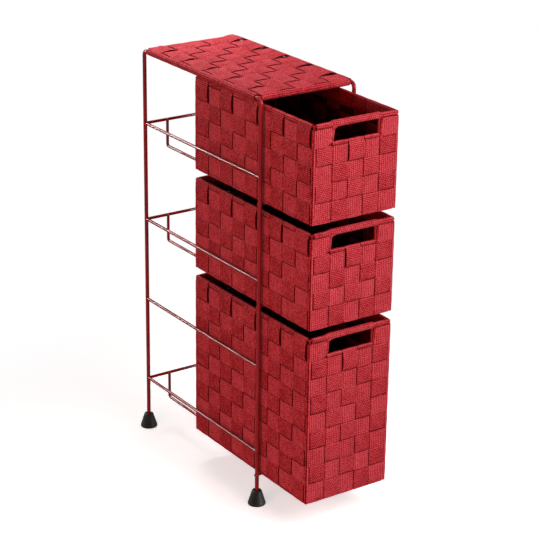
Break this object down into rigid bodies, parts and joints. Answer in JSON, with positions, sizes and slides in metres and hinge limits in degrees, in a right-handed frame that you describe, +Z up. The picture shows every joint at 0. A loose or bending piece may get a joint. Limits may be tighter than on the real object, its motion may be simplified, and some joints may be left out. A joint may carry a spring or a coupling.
{
  "type": "bathroom drawer cabinet",
  "caption": "Slim free-standing wire-framed cabinet with woven strap drawers that slide on wire runners, a woven top panel and conical rubber feet.",
  "frame": {"origin": "on the floor, under the middle of the whole object with its drawers at rest", "axes": "+Z up, drawers pull out towards -Y, +X to the right seen from the front"},
  "size_m": [0.193, 0.46, 0.6527],
  "materials": {
    "red_wire": "gloss",
    "red_strap": "woven, satin",
    "foot_rubber": "satin"
  },
  "bodies": {
    "frame": {"left_side_frame": "red_wire", "right_side_frame": "red_wire", "panel_front_bar": "red_wire", "panel_rear_bar": "red_wire", "top_back_rail": "red_wire", "middle_back_rail": "red_wire", "bottom_back_rail": "red_wire", "top_guide_rail_left": "red_wire", "top_guide_rail_right": "red_wire", "middle_guide_rail_left": "red_wire", "middle_guide_rail_right": "red_wire", "bottom_guide_rail_left": "red_wire", "bottom_guide_rail_right": "red_wire", "spacer_guide_rail_left": "red_wire", "spacer_guide_rail_right": "red_wire", "top_runner_left": "red_wire", "top_runner_right": "red_wire", "middle_runner_left": "red_wire", "middle_runner_right": "red_wire", "bottom_runner_left": "red_wire", "bottom_runner_right": "red_wire", "top_front_bar": "red_wire", "middle_front_bar": "red_wire", "bottom_front_bar": "red_wire", "front_foot_left": "foot_rubber", "front_foot_right": "foot_rubber", "rear_foot_left": "foot_rubber", "rear_foot_right": "foot_rubber", "top_panel_long_straps": "red_strap", "top_panel_cross_straps": "red_strap"},
    "top_drawer": {"top_drawer_rim_wire": "red_wire", "top_drawer_base_wire": "red_wire", "top_drawer_corner_posts": "red_wire", "top_drawer_handle_wire": "red_wire", "top_drawer_handle_bindings": "red_strap", "top_drawer_grip_wrap": "red_strap", "top_drawer_long_straps": "red_strap", "top_drawer_cross_straps": "red_strap", "top_drawer_band_straps": "red_strap"},
    "middle_drawer": {"middle_drawer_rim_wire": "red_wire", "middle_drawer_base_wire": "red_wire", "middle_drawer_corner_posts": "red_wire", "middle_drawer_handle_wire": "red_wire", "middle_drawer_handle_bindings": "red_strap", "middle_drawer_grip_wrap": "red_strap", "middle_drawer_long_straps": "red_strap", "middle_drawer_cross_straps": "red_strap", "middle_drawer_band_straps": "red_strap"},
    "bottom_drawer": {"bottom_drawer_rim_wire": "red_wire", "bottom_drawer_base_wire": "red_wire", "bottom_drawer_corner_posts": "red_wire", "bottom_drawer_handle_wire": "red_wire", "bottom_drawer_handle_bindings": "red_strap", "bottom_drawer_grip_wrap": "red_strap", "bottom_drawer_long_straps": "red_strap", "bottom_drawer_cross_straps": "red_strap", "bottom_drawer_band_straps": "red_strap"}
  },
  "joints": [
    {"name": "top_drawer_slide", "type": "slide", "parent": "frame", "child": "top_drawer", "axis": [0, -1, 0], "range_m": [-0.1255, 0.12]},
    {"name": "middle_drawer_slide", "type": "slide", "parent": "frame", "child": "middle_drawer", "axis": [0, -1, 0], "range_m": [-0.1255, 0.12]},
    {"name": "bottom_drawer_slide", "type": "slide", "parent": "frame", "child": "bottom_drawer", "axis": [0, -1, 0], "range_m": [-0.1255, 0.12]}
  ]
}
